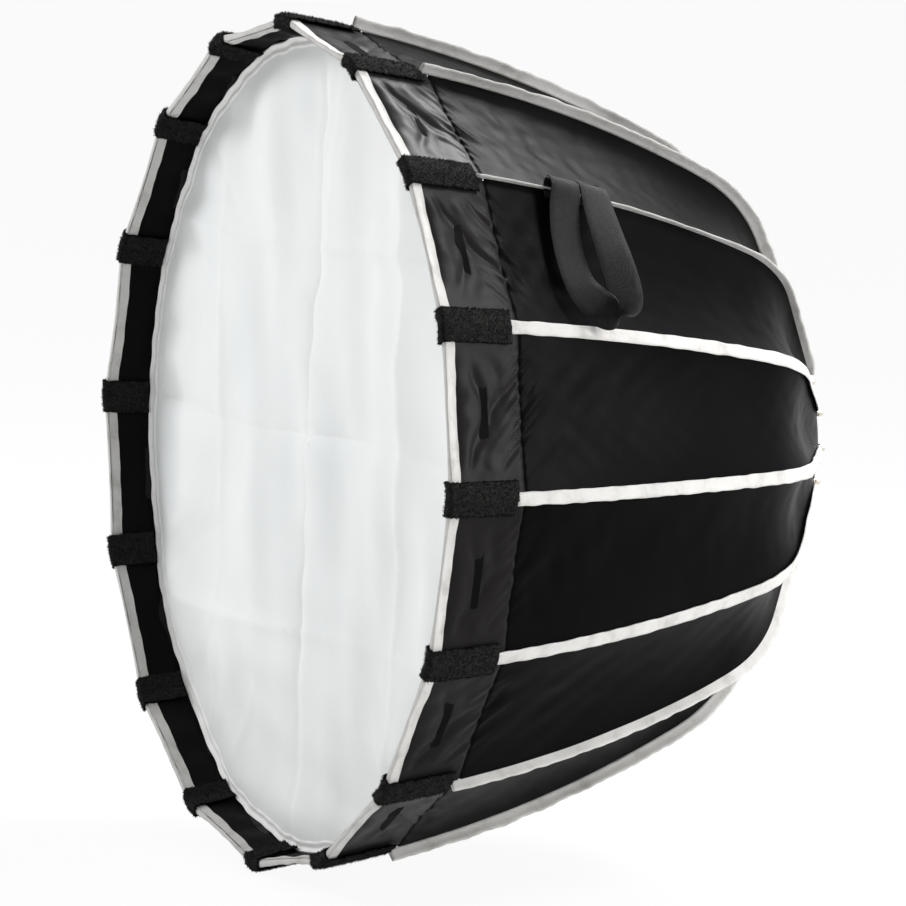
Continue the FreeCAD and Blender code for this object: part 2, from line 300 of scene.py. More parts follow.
def bumpNode(tree, shader, values, distance):
    # Bump from one or more heights, each with a strength.
    last = None
    for value, strength in values:
        bump = tree.nodes.new("ShaderNodeBump")
        bump.inputs["Strength"].default_value = strength
        bump.inputs["Distance"].default_value = distance
        tree.links.new(value, bump.inputs["Height"])
        if last is not None:
            tree.links.new(last.outputs["Normal"], bump.inputs["Normal"])
        last = bump
    tree.links.new(last.outputs["Normal"], shader.inputs["Normal"])


def coatedCloth(name, dark, light, rough, shine, weaveStrength):
    # Thin coated polyester: faint ripstop lines, soft sheen and uneven gloss.
    material, tree, shader = newMaterial(name, rough=rough, spec=shine)
    tint = noiseNode(tree, 9, 5)
    tree.links.new(colourRamp(tree, tint, [(.3, dark), (.75, light)]), shader.inputs["Base Color"])
    gloss = noiseNode(tree, 60, 6)
    tree.links.new(rangeNode(tree, gloss, rough - .07, rough + .1), shader.inputs["Roughness"])
    bumpNode(tree, shader, [
        (waveNode(tree, 320, "Z"), weaveStrength), (waveNode(tree, 320, "Y"), weaveStrength),
        (noiseNode(tree, 45, 6), .35)], .0006)
    return material


shellCloth = coatedCloth("shellCloth", (.0018, .0018, .0018), (.0032, .0031, .0032), .34, .018, .07)
# Painted light: the same cloth as the shell, made lighter to stand in for light coming through the
# unlined band.
bandClothPaintedLight = coatedCloth("bandClothPaintedLight", (.0090, .0080, .0086), (.0140, .0127, .0134), .33, .050, .07)
lipCloth = coatedCloth("lipCloth", (.003, .003, .003), (.0045, .0045, .0045), .6, .03, .05)


def silverLining():
    material, tree, shader = newMaterial("silverLining", metal=1.0, rough=.32)
    tint = noiseNode(tree, 30, 6)
    tree.links.new(colourRamp(tree, tint, [(.2, (.55, .56, .57)), (.8, (.78, .79, .8))]),
                   shader.inputs["Base Color"])
    bumpNode(tree, shader, [(noiseNode(tree, 70, 8, rough=.65), .8)], .002)
    return material


def bindingTape():
    material, tree, shader = newMaterial("bindingTape", rough=.72, sheen=.25, sheenRough=.4)
    tint = noiseNode(tree, 38, 6, rough=.62)
    tree.links.new(colourRamp(tree, tint, [(.28, (.38, .37, .352)), (.48, (.525, .515, .497)),
                                           (.8, (.59, .585, .572))]), shader.inputs["Base Color"])
    bumpNode(tree, shader, [(waveNode(tree, 900, "Y"), .25), (noiseNode(tree, 120, 5), .5)], .0005)
    return material


def loopPile():
    material, tree, shader = newMaterial("loopPile", rough=.85, spec=.08)
    tint = noiseNode(tree, 420, 3)
    tree.links.new(colourRamp(tree, tint, [(.35, (.003, .003, .003)), (.7, (.022, .022, .021))]),
                   shader.inputs["Base Color"])
    bumpNode(tree, shader, [(noiseNode(tree, 700, 4), .9)], .001)
    return material


def diffuserCloth():
    material, tree, shader = newMaterial("diffuserCloth", rough=.6, spec=.35)
    # Painted shade: white cloth with broad blue-grey patches that stand in for shadows seen through it.
    tint = noiseNode(tree, 5, 5, (1, 1, .6))
    tree.links.new(colourRamp(tree, tint, [(.35, (.775, .80, .80)), (.65, (.84, .85, .845))]),
                   shader.inputs["Base Color"])
    bumpNode(tree, shader, [(waveNode(tree, 700, "X"), .05), (waveNode(tree, 700, "Z"), .05),
                            (noiseNode(tree, 60, 4), .1)], .0004)
    return material


def hemTape():
    material, tree, shader = newMaterial("hemTape", rough=.65, sheen=.1)
    tint = noiseNode(tree, 60, 5)
    tree.links.new(colourRamp(tree, tint, [(.3, (.80, .80, .79)), (.7, (.87, .87, .86))]),
                   shader.inputs["Base Color"])
    bumpNode(tree, shader, [(noiseNode(tree, 160, 4), .35)], .0005)
    return material


def webbing():
    material, tree, shader = newMaterial("webbing", rough=.5, spec=.12)
    tint = noiseNode(tree, 200, 4)
    tree.links.new(colourRamp(tree, tint, [(.3, (.005, .005, .005)), (.7, (.011, .011, .011))]),
                   shader.inputs["Base Color"])
    bumpNode(tree, shader, [(waveNode(tree, 420, "DIAGONAL"), .5), (waveNode(tree, 700, "Y"), .3)],
             .0006)
    return material


def metalFinish(name, colour, rough, grain, metal=1.0, stretch=(1, 1, 1), bump=.15):
    material, tree, shader = newMaterial(name, metal=metal)
    fine = noiseNode(tree, grain, 5, stretch)
    dim = tuple(c * .82 for c in colour)
    tree.links.new(colourRamp(tree, fine, [(.3, dim), (.7, colour)]), shader.inputs["Base Color"])
    tree.links.new(rangeNode(tree, fine, rough * .8, rough * 1.25), shader.inputs["Roughness"])
    bumpNode(tree, shader, [(fine, bump)], .0003)
    return material


silver = silverLining()
tape = bindingTape()
pile = loopPile()
diffuse = diffuserCloth()
hem = hemTape()
strapCloth = webbing()
turnedAluminium = metalFinish("turnedAluminium", (.80, .80, .79), .28, 260, stretch=(1, 30, 1))
blackCasting = metalFinish("blackCasting", (.018, .018, .019), .5, 400, metal=0.0, bump=.4)
plainSteel = metalFinish("plainSteel", (.62, .62, .61), .3, 300)
brightNickel = metalFinish("brightNickel", (.82, .77, .66), .16, 200, bump=.05)

cadFinish = {"collar": turnedAluminium, "ring_body": blackCasting, "ring_cover": blackCasting,
             "cover_screws": plainSteel, "hinge_pins": plainSteel, "plunger_springs": plainSteel}
for i in range(ribCount):
    cadFinish["lock_plunger_" + ribName(i)] = brightNickel
for node, finish in cadFinish.items():
    for place in frame["nodes"][node].material_slots:
        place.material = finish
print("materials made")

shell = {
    "thickness": .0006, "columns": 26, "bandRows": 42, "bodyRows": 72, "rearRows": 56, "seed": 11,
    # The sewn line behind the tabs: its distance from the rim, depth and half width.
    "gather": .088, "stitchDepth": .0013, "stitchWidth": .0015,
    "bowFront": .003, "bowBody": .009, "bowShoulder": .013, "scallop": .0012,
    "wrinkle": .0005, "gatherFolds": .0010, "deepest": .0050, "bandWidth": .168,
    # Share of the width that is left when the ribs are folded.
    "keep": {"front": .27, "rear": .34},
    # Front band folds: height, half width, then their line as (length back, share across).
    "creases": [
        (-.0020, .0042, [(.008, -.02), (.0085, .30), (.0080, .62), (.007, 1.02)]),
        (-.0030, .0052, [(.022, .02), (.031, .21), (.044, .36), (.057, .51), (.071, .62), (.090, .71)]),
        (-.0018, .0050, [(.040, .34), (.045, .50), (.044, .62), (.034, .78), (.026, .98)]),
        (.0016, .0100, [(.018, .00), (.022, .30), (.025, .60), (.020, .95)]),
        (.0016, .0090, [(.044, .04), (.054, .22), (.068, .38), (.082, .50)]),
        (-.0014, .0080, [(.062, .64), (.060, .80), (.050, .98)]),
        (-.0012, .0040, [(.060, .03), (.072, .18), (.088, .33), (.104, .44)]),
        (.0011, .0060, [(.086, .40), (.104, .55), (.124, .68)]),
        (-.0012, .0050, [(.088, .52), (.100, .66), (.108, .84)]),
    ],
    # Panels whose folds fan from their first rib; the others fan from their second.
    "fanned": [1, 2, 6, 9, 10, 13],
}


def smooth(x, low, high):
    t = np.clip((x - low) / (high - low), 0, 1)
    return t * t * (3 - 2 * t)


def ripples(rng, count, shortest, longest):
    # Random plane waves over (s, t), as (ks, kt, phase).
    waves = []
    for _ in range(count):
        length = rng.uniform(shortest, longest)
        turn = rng.uniform(0, math.pi)
        k = 2 * math.pi / length
        waves.append((k * math.cos(turn), k * math.sin(turn), rng.uniform(0, 2 * math.pi)))
    return waves


def crease(s, t, line, height, width):
    # Soft ridge or valley along a line of (s, t) points, faded at both ends.
    line = np.array(line)
    runs = line[1:] - line[:-1]
    lengths = np.hypot(*runs.T)
    nearest, along, done = np.full(s.shape, np.inf), 0 * s, 0
    for start, run, length in zip(line, runs, lengths):
        k = np.clip(((s - start[0]) * run[0] + (t - start[1]) * run[1]) / length ** 2, 0, 1)
        away = np.hypot(s - start[0] - k * run[0], t - start[1] - k * run[1])
        along = np.where(away < nearest, (done + k * length) / lengths.sum(), along)
        nearest = np.minimum(away, nearest)
        done += length
    ends = smooth(along, -.02, .15) * (1 - .9 * smooth(along, .6, 1))
    return height * np.exp(-(nearest / (width * (.7 + .6 * along))) ** 2) * ends


def goreShape(gore, s, u):
    # Height of the cloth over the flat panel, in metres, on a grid of lengths s and shares u.
    rng = random.Random(shell["seed"] + gore)
    _, ribRadius, _ = ribPlace(s, 0)
    width = 2 * ribRadius * math.sin(halfStep)
    t = (u - .5) * width
    held = np.sin(math.pi * u) ** .8
    depth = shell["bowFront"] + (shell["bowBody"] - shell["bowFront"]) * smooth(s, .08, .25)
    depth = depth + (shell["bowShoulder"] - shell["bowBody"]) * smooth(s, .34, .46)
    depth = depth * (1 - .75 * smooth(s, .60, fabricLength))
    height = -depth * 4 * u * (1 - u)

    fine = 0 * s
    for ks, kt, phase in ripples(rng, 9, .018, .07):
        fine = fine + np.sin(ks * s + kt * t + phase)
    height = height + shell["wrinkle"] * fine / 3 * held * (.45 + .55 * (1 - smooth(s, .1, .3)))

    # Gathers that cross the sewn line on a slant.
    side = 1 if gore in shell["fanned"] else -1
    back = s - shell["gather"]
    near = np.exp(-np.abs(back + .003) / .012)
    wave = 0 * s
    for _ in range(4):
        k = 2 * math.pi / rng.uniform(.012, .028)
        across = t - side * rng.uniform(.6, 1.2) * back
        wave = wave + np.sin(k * across + rng.uniform(0, 6.3) + 3 * np.sin(t * rng.uniform(8, 20)))
    height = height + shell["gatherFolds"] * near * wave / 2 * held
    height = height - shell["stitchDepth"] * np.exp(-(back / shell["stitchWidth"]) ** 2)

    # Slack front band.
    for lift, wide, line in shell["creases"]:
        drift, turn = rng.uniform(-.05, .05), rng.uniform(.75, 1.2)
        points = []
        for length, share in line:
            share = .13 + .74 * (share + drift * math.sin(math.pi * share))
            points.append((length, side * (share - .5) * shell["bandWidth"]))
        height = height + crease(s, t, points, lift * turn, wide) * np.sin(math.pi * u) ** .35
    slack = rng.uniform(-.003, .002) * np.sin(math.pi * u) * (1 - smooth(s, .03, .085))
    height = height + slack
    # A limit on the depth, loose behind the inner edge.
    return np.maximum(height, -shell["deepest"] - .03 * smooth(s, .05, .07))


def rimPull(gore, u):
    # How far the rim is drawn back between two ribs.
    rng = random.Random(50 + gore)
    depth = shell["scallop"] * rng.uniform(.5, 1.5)
    skew = rng.uniform(-.12, .12)
    return depth * np.sin(math.pi * np.clip(u + skew * np.sin(2 * math.pi * u), 0, 1))


def onPanel(gore, s, u, offset):
    # Points of a flat panel between ribs gore and gore + 1, and its facing directions.
    y, r, angle = ribPlace(s, offset)
    beta = (u - .5) * 2 * halfStep
    r = r * math.cos(halfStep) / np.cos(beta)
    place = radial(gore + u) * r[..., None]
    place[..., 1] = y
    face = radial(gore + .5) * np.cos(angle)[..., None]
    face = face + np.array([0, 1, 0]) * np.sin(angle)[..., None]
    return place, face


def clothGrid(gore, s, u):
    s, u = np.broadcast_arrays(s[:, None], u[None, :])
    place, face = onPanel(gore, s, u, ribLine["fabricOffset"])
    place = place + face * goreShape(gore, s, u)[..., None]
    place[..., 1] += rimPull(gore, u) * (1 - smooth(s, 0, .07))
    return place


shellRows = np.concatenate([
    np.linspace(0, shell["gather"], shell["bandRows"], endpoint=False),
    np.linspace(0, 1, shell["bodyRows"], endpoint=False) ** 1.4 * (frontLength - shell["gather"])
    + shell["gather"],
    np.linspace(frontLength, fabricLength, shell["rearRows"]),
])
bandRow = shell["bandRows"]
bendRow = bandRow + shell["bodyRows"]


def makeShell():
    shares = np.linspace(0, 1, 2 * shell["columns"] + 1)
    grids = [clothGrid(g, shellRows, shares) for g in range(ribCount)]
    faces = [turnTowards(gridNormals(g), radial(i + .5)) for i, g in enumerate(grids)]
    middle = shell["columns"]
    # The front band is single cloth, in a colour painted lighter for the light that comes through it;
    # the rest has the silver lining.
    front = [(slice(0, bandRow + 1), 2, 2), (slice(bandRow, bendRow + 1), 0, 1)]
    rear = [(slice(bendRow, None), 0, 1)]
    for i in range(ribCount):
        before = (i - 1) % ribCount
        for band, spans, body in (("front", front, frontBody(i)), ("rear", rear, rootBody(i))):
            build = Build()
            for rows, outer, inner in spans:
                for g, columns in ((before, slice(middle, None)), (i, slice(0, middle + 1))):
                    points, normals = grids[g][rows, columns], faces[g][rows, columns]
                    build.slab(points, normals, shell["thickness"], outer, inner)
            piece = build.finish("shell_%s_%s" % (band, ribName(i)),
                                 [shellCloth, silver, bandClothPaintedLight])
            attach(piece, body)
            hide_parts("shell_gores")
            gatherUp(piece)


def gatherUp(piece):
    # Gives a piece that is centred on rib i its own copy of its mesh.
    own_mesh(piece)


makeShell()
print("shell made")

seamTape = {
    "width": .0136, "thickness": .0017, "steps": 150,
    # Over the fabric, and how deep its edge is sewn in.
    "lift": .0004, "sunk": .0006,
    # Where it starts behind the rim, and how far it passes the rear hem.
    "start": .0765, "past": .004,
    # How far each rib's tape leans towards the next rib, in degrees, from the top rib round.
    "lean": [20, 22, 26, 86, 80, 86, 18, -20, 20, -25, 30, 15, -20, 28, -25, 12],
    # Share of each tape's width that lies before its seam.
    "slip": [0, 0, .38, .48, .36, .48, .28, 0, 0, 0, 0, 0, 0, 0, 0, 0],
    "sway": 9, "seed": 4,
    # Half thickness along the width, as shares.
    "bulge": [.9, .75, .65, .65, .8, 1.0, .35],
}


def ribFrame(i, s, offset, lastAngle=tangentAngle):
    # Points on rib i's line, and the outward direction there.
    y, r, angle = ribPlace(s, offset, lastAngle)
    place = radial(i) * r[..., None]
    place[..., 1] = y
    out = radial(i) * np.cos(angle)[..., None] + np.array([0, 1, 0]) * np.sin(angle)[..., None]
    return place, out


def waver(rng, s, count, shortest, longest):
    total = 0 * s
    for _ in range(count):
        total = total + np.sin(2 * math.pi * s / rng.uniform(shortest, longest) + rng.uniform(0, 6.3))
    return total / count


def makeSeamTape(i):
    rng = random.Random(seamTape["seed"] * 100 + i)
    last = fabricLength + seamTape["past"]
    s = np.linspace(seamTape["start"], last, seamTape["steps"])
    place, out = ribFrame(i, s, ribLine["fabricOffset"] + seamTape["lift"])
    side = sideways(i)
    lean = np.radians(seamTape["lean"][i] + waver(rng, s, 3, .06, .3) * seamTape["sway"])
    width = seamTape["width"] * (1 + .09 * waver(rng, s, 4, .012, .06))
    width = width * (1 - .35 * smooth(s, last - .016, last))
    # Half slip centres the tape flat on its seam; without slip it stands up and curls.
    slip = seamTape["slip"][i]
    curl = 1 - 2 * slip
    way = out * np.cos(lean)[:, None] + side * np.sin(lean)[:, None]
    lines = [place - out * seamTape["sunk"] * curl - way * (width * slip)[:, None]]
    flats = []
    folds = len(seamTape["bulge"]) - 1
    for n in range(folds):
        angle = lean * (1 + curl * (.75 * (n + .5) / folds - .55))
        way = out * np.cos(angle)[:, None] + side * np.sin(angle)[:, None]
        flats.append(-out * np.sin(angle)[:, None] + side * np.cos(angle)[:, None])
        lines.append(lines[-1] + way * (width / folds)[:, None])
    flats = [flats[0]] + flats
    steps = [flat * seamTape["thickness"] / 2 * b for flat, b in zip(flats, seamTape["bulge"])]
    left = [line + step for line, step in zip(lines, steps)]
    right = [line - step for line, step in zip(lines, steps)]
    loop = np.stack(left + right[::-1], axis=1)
    build = Build()
    build.tube(loop, loop - loop.mean(axis=1, keepdims=True))
    piece = makePiece("seam_tape_" + ribName(i), np.concatenate(build.verts), build.faces, [tape])
    crossRib(piece, i)
    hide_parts("seam_bindings")


def crossRib(piece, i, reach=.016):
    # Bakes the transform of a piece on rib i's line into its mesh.
    place, _ = ribFrame(i, np.array([frontLength + reach, frontLength - reach]), 0)
    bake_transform(piece)


for i in range(ribCount):
    makeSeamTape(i)
print("seam tapes made")

rodShape = {"sides": 12, "steps": 150, "tip": .0012, "inFoot": .010}


def makeRod(i):
    lastAngle = math.radians(ribLine["rootAngle"])
    turned = (lastAngle - shoulderAngle) * ribLine["shoulderRadius"]
    far = frontLength + turned + ribLine["rootLength"] - rodShape["inFoot"]
    s = np.linspace(rodShape["tip"], far, rodShape["steps"])
    centre, out = ribFrame(i, s, 0, lastAngle)
    turn = np.linspace(0, 2 * math.pi, rodShape["sides"], endpoint=False)
    ring = out[:, None] * np.cos(turn)[:, None] + sideways(i) * np.sin(turn)[:, None]
    points = centre[:, None] + ring * ribLine["rodRadius"]
    build = Build()
    build.tube(points, ring)
    piece = makePiece("rib_rod_tube_" + ribName(i), np.concatenate(build.verts), build.faces,
                      [plainSteel])
    crossRib(piece, i)
    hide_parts("rib_rod_" + ribName(i), "rib_foot_" + ribName(i))


footShape = {
    "halfWidth": .0052, "sides": 24, "roundness": .35,
    # Distance out from the hinge pin, half thickness, share of the width.
    "sections": [(-.0050, .0012, .86), (-.0045, .0026, .96), (-.0032, .0040, 1), (0, .0050, 1),
                 (.0045, .0046, 1), (.0100, .0041, 1), (.0160, .0040, .96), (.0205, .0041, .9),
                 (.0232, .0040, .84), (.0240, .0034, .74), (.0240, .0026, .52)],
}


def makeFoot(i):
    angle = math.radians(ribLine["rootAngle"])
    along = radial(i) * math.sin(angle) - np.array([0, 1, 0]) * math.cos(angle)
    out = radial(i) * math.cos(angle) + np.array([0, 1, 0]) * math.sin(angle)
    side = sideways(i)
    hinge = radial(i) * ribLine["hinge"][1] + np.array([0, ribLine["hinge"][0], 0])
    turn = np.linspace(0, 2 * math.pi, footShape["sides"], endpoint=False)
    # Each section is a rounded rectangle, from a superellipse.
    corner = [np.sign(c) * np.abs(c) ** footShape["roundness"] for c in (np.cos(turn), np.sin(turn))]
    rows = []
    for distance, half, share in footShape["sections"]:
        x, z = corner[0] * half, corner[1] * footShape["halfWidth"] * share
        rows.append(hinge + along * distance + out * x[:, None] + side * z[:, None])
    points = np.stack(rows)
    build = Build()
    build.tube(points, points, flip=True)
    piece = makePiece("rib_foot_casting_" + ribName(i), np.concatenate(build.verts), build.faces,
                      [blackCasting])
    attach(piece, rootBody(i))
    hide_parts("rib_foot_" + ribName(i))


for i in range(ribCount):
    makeRod(i)
    makeFoot(i)
print("ribs made")

rim = {
    # The black inner edge, from the rim to the diffuser.
    "depth": .048, "lipOffset": -.0040, "lipThickness": .0008,
    "roundRadius": .4235, "roundY": -.5325,
    "tapeWidth": .0105, "tapeLift": .0008, "tapeThickness": .0006, "cap": .0019,
    "columns": 24, "rows": 14, "seed": 90, "keep": .2,
}


def lipPlace(gore, v, u, lift):
    # The inner edge, from the rim at v = 0 to the diffuser at v = 1.
    y0, r0, _ = ribPlace(0 * v, rim["lipOffset"])
    beta = (u - .5) * 2 * halfStep
    r0 = r0 * math.cos(halfStep) / np.cos(beta)
    rng = random.Random(rim["seed"] + gore)
    y = y0 + (rim["roundY"] - y0) * v + rimPull(gore, u) * (1 - v)
    r = r0 + (rim["roundRadius"] - r0) * v
    slack = np.sin(math.pi * v) * np.sin(math.pi * u)
    r = r - slack * (.003 + .0016 * np.sin(u * 19 + rng.uniform(0, 6)) * rng.uniform(.4, 1))
    place = radial(gore + u) * (r - lift)[..., None]
    place[..., 1] = y
    return place


def outerPlace(gore, s, u, lift):
    place, face = onPanel(gore, s, u, ribLine["fabricOffset"])
    place = place + face * (goreShape(gore, s, u) + lift)[..., None]
    place[..., 1] += rimPull(gore, u) * (1 - smooth(s, 0, .07))
    return place


def twoHalves(i, columns):
    # The two half panels beside rib i, as (panel, shares across it).
    return (((i - 1) % ribCount, np.linspace(.5, 1, columns)), (i, np.linspace(0, .5, columns)))


def makeLip(i):
    build = Build()
    v = np.linspace(0, 1, rim["rows"])
    for gore, shares in twoHalves(i, rim["columns"]):
        vv, uu = np.meshgrid(v, shares, indexing="ij")
        points = lipPlace(gore, vv, uu, 0)
        normals = turnTowards(gridNormals(points), -radial(gore + .5))
        build.slab(points, normals, rim["lipThickness"])
    piece = build.finish("inner_lip_" + ribName(i), [lipCloth])
    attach(piece, frontBody(i))
    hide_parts("front_lip")
    gatherUp(piece)


def makeRimTape(i):
    rng = random.Random(rim["seed"] * 3 + i)
    build = Build()
    for gore, shares in twoHalves(i, rim["columns"]):
        rows = []
        edge = random.Random(gore)
        wander = 1 + .035 * np.sin(shares * 31 + edge.uniform(0, 6)) * np.sin(shares * 13 + 2)
        for share in (1, .8, .6, .4, .2, .05):
            rows.append(outerPlace(gore, rim["tapeWidth"] * share * wander, shares, rim["tapeLift"]))
        inner = lipPlace(gore, .03 + 0 * shares, shares, rim["tapeLift"])
        middle, half = (rows[-1] + inner) / 2, (rows[-1] - inner) / 2
        for turn in np.radians(np.arange(15, 180, 15)):
            cap = middle + half * math.cos(turn)
            cap[:, 1] -= rim["cap"] * math.sin(turn)
            rows.append(cap)
        for share in (.03, .25, .5, .75, 1):
            depth = rim["tapeWidth"] / rim["depth"] * share * wander
            rows.append(lipPlace(gore, depth, shares, rim["tapeLift"]))
        points = np.stack(rows)
        normals = gridNormals(points)
        if np.sum(normals[0] * radial(gore + .5)) < 0:
            normals = -normals
        build.slab(points, normals, rim["tapeThickness"])
    piece = build.finish("rim_tape_" + ribName(i), [tape])
    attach(piece, frontBody(i))
    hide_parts("front_lip")
    gatherUp(piece)


for i in range(ribCount):
    makeLip(i)
    makeRimTape(i)
print("rim made")

tab = {
    "length": .078, "halfWidth": .0172, "thickness": .0017, "lift": .0014, "inside": .043,
    "innerOffset": -.0062, "innerLift": .0024, "cap": .0012, "columns": 17, "seed": 300,
    # Unevenness: of the sides, of the face, and turn on the rim in degrees.
    "ragged": .0006, "lumps": (-.0006, .0007), "skew": 3.5,
    "fibres": 2000, "fibreLength": .0024, "fibreRadius": .00019,
}


def tabLine(i):
    # Centre line (y, r) round the rim, from the outside to the inside, with facing directions.
    s = np.linspace(tab["length"], 0, 36)
    y, r, angle = ribPlace(s, ribLine["fabricOffset"] + tab["lift"])
    line = [np.stack([y, r], -1)]
    face = [np.stack([np.sin(angle), np.cos(angle)], -1)]
    y0, r0, _ = ribPlace(np.zeros(1), tab["innerOffset"])
    outer, inner = line[0][-1], np.array([y0[0], r0[0]])
    turn = np.radians(np.linspace(20, 160, 8))[:, None]
    cap = (outer + inner) / 2 + (outer - inner) / 2 * np.cos(turn)
    cap = cap - np.array([tab["cap"], 0]) * np.sin(turn)
    line.append(cap)
    face.append(np.concatenate([-np.sin(turn), np.cos(turn)], -1))
    back = np.linspace(0, tab["inside"], 12)[:, None] / rim["depth"]
    end = np.array([rim["roundY"], rim["roundRadius"] - tab["innerLift"]])
    line.append(inner + (end - inner) * back)
    face.append(np.repeat([[0.0, -1.0]], 12, axis=0))
    return np.concatenate(line), np.concatenate(face)


def makeTab(i):
    rng = random.Random(tab["seed"] + i)
    line, face = tabLine(i)
    t = np.linspace(-1, 1, tab["columns"]) * tab["halfWidth"]
    ragged = np.array([rng.uniform(-tab["ragged"], tab["ragged"]) for _ in line])
    spread = t[None, :] * (1 + ragged[:, None] / tab["halfWidth"])
    skew = math.radians(rng.uniform(-tab["skew"], tab["skew"]))
    out = radial(i)
    r = line[:, 1:2] - np.abs(spread) * math.tan(halfStep)
    points = out * r[..., None] + sideways(i) * spread[..., None]
    points[..., 1] = line[:, 0:1] + spread * math.tan(skew)
    normals = out * face[:, 1][:, None, None] + np.array([0, 1, 0]) * face[:, 0][:, None, None]
    lean = np.sign(spread) * np.sin(halfStep) * np.sign(face[:, 1])[:, None]
    normals = normals + sideways(i) * lean[..., None]
    normals = unit(normals)
    lumps = np.array([[rng.uniform(*tab["lumps"]) for _ in t] for _ in line])
    edge = np.clip((tab["halfWidth"] - np.abs(spread)) / .002, 0, 1) ** .5
    top = points + normals * (tab["thickness"] * (.55 + .45 * edge) + lumps)[..., None]
    build = Build()
    build.slab(top, normals, tab["thickness"] * .9)
    addPile(build, top, normals, rng)
    piece = build.finish("tip_tab_" + ribName(i), [pile])
    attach(piece, frontBody(i))
    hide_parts("tip_tabs")


def addPile(build, points, normals, rng):
    # Short bent three-sided fibres that stand out of the pad.
    rows, columns = points.shape[:2]
    triangle = np.radians([0, 120, 240])
    for _ in range(tab["fibres"]):
        x, z = rng.uniform(0, rows - 1.001), rng.uniform(0, columns - 1.001)
        if rng.random() < .25:
            z = rng.choice([rng.uniform(0, .35), columns - 1.001 - rng.uniform(0, .35)])
        a, b = int(x), int(z)
        fx, fz = x - a, z - b
        root = (points[a, b] * (1 - fx) * (1 - fz) + points[a + 1, b] * fx * (1 - fz)
                + points[a, b + 1] * (1 - fx) * fz + points[a + 1, b + 1] * fx * fz)
        up = normals[a, b]
        way = np.array([rng.gauss(0, 1) for _ in range(3)])
        way = unit(way - up * (way @ up))
        other = np.cross(up, way)
        long = tab["fibreLength"] * rng.uniform(.45, 1.15)
        curl = rng.uniform(.2, 1.1)
        line = [root - up * .0003, root + up * long * .55 + way * long * .3 * curl,
                root + up * long * (.9 - .35 * curl) + way * long * curl]
        sides = np.array([way * math.cos(turn) + other * math.sin(turn) for turn in triangle])
        rings = [point + sides * tab["fibreRadius"] * width for point, width in zip(line, (1, .9, .5))]
        start = build.grid(np.array(rings), np.array([sides] * len(rings)), closeV=True)
        build.face(range(start + 6, start + 9))


for i in range(ribCount):
    makeTab(i)
print("tabs made")

diffuser = {
    "radius": .4230, "y": -.5322, "parts": 48, "columns": 10, "rows": 78, "thickness": .0005,
    "hem": .012, "hemRise": .0011, "tilt": 20, "keep": .06, "seed": 21,
    # The raised edge and the stitched line in it: distance in from the edge, height, width.
    "piping": (.0018, .0021, .0016), "stitching": (.0062, -.0012, .0022),
    # Fold lines left from packing, as (place, depth, width).
    "acrossX": [(-.235, .0040, .012), (-.010, -.0050, .010), (.215, .0042, .012)],
    "acrossZ": [(.205, .0046, .011), (.008, -.0050, .012), (-.200, .0048, .011)],
}


def diffuserRise(x, z):
    # How far the cloth stands forward of its plane.
    rng = random.Random(diffuser["seed"])
    rise = 0 * x
    for at, depth, width in diffuser["acrossX"]:
        bow = .006 * np.sin(z * 9 + at * 40)
        strength = .45 + .55 * np.sin(z * rng.uniform(5, 9) + rng.uniform(0, 6)) ** 2
        rise = rise + depth * strength * np.exp(-np.abs(x - at - bow) / width)
    for at, depth, width in diffuser["acrossZ"]:
        bow = .009 * np.sin(x * 8 + at * 30)
        strength = .3 + .7 * np.sin(x * rng.uniform(5, 10) + rng.uniform(0, 6)) ** 2
        rise = rise + depth * strength * np.exp(-np.abs(z - at - bow) / width)
    for _ in range(16):
        length = rng.uniform(.05, .22)
        turn = rng.uniform(-.5, .5) + rng.choice([0, math.pi / 2])
        k = 2 * math.pi / length
        wave = np.sin(k * (x * math.cos(turn) + z * math.sin(turn)) + rng.uniform(0, 6.3))
        rise = rise + .0012 * wave * (length / .15) ** 1.2
    # Slack folds that hang from the edge.
    away, turn = np.hypot(x, z), np.arctan2(z, x)
    for _ in range(26):
        at = rng.uniform(-math.pi, math.pi)
        gap = np.angle(np.exp(1j * (turn - at)))
        start = rng.uniform(.1, .3)
        ridge = np.exp(-(gap * away / rng.uniform(.006, .015)) ** 2) * smooth(away, start, .36)
        rise = rise + rng.uniform(-.0022, .0022) * ridge * (1 - .7 * smooth(away, .38, .41))
    return rise


def diffuserGrid(turn, share):
    wander = .0007 * np.sin(turn * 37) + .0006 * np.sin(turn * 61 + 1) + .0008 * np.cos(turn * 16)
    edge = diffuser["radius"] + wander
    r = edge * share
    x, z = r * np.cos(turn), r * np.sin(turn)
    inside = edge - r
    rise = diffuserRise(x, z) * (.25 + .75 * smooth(inside, 0, .05))
    hemmed = 1 - smooth(inside, diffuser["hem"] - .001, diffuser["hem"] + .0006)
    rise = rise + diffuser["hemRise"] * hemmed * (1 + .35 * np.sin(turn * 90 + 3 * np.sin(turn * 7)))
    for at, height, width in (diffuser["piping"], diffuser["stitching"]):
        rise = rise + height * np.exp(-((inside - at) / width) ** 2)
    return np.stack([x, diffuser["y"] - rise, z], -1)


def diffuserRows():
    edge = diffuser["radius"]
    fine = 1 - np.array([.020, .0165, .0135, .0126, .0118, .0108, .0095, .008, .0068, .0058, .0048,
                         .0038, .0030, .0022, .0014, .0006, 0]) / edge
    return np.concatenate([np.linspace(.002, fine[0], diffuser["rows"], endpoint=False), fine])


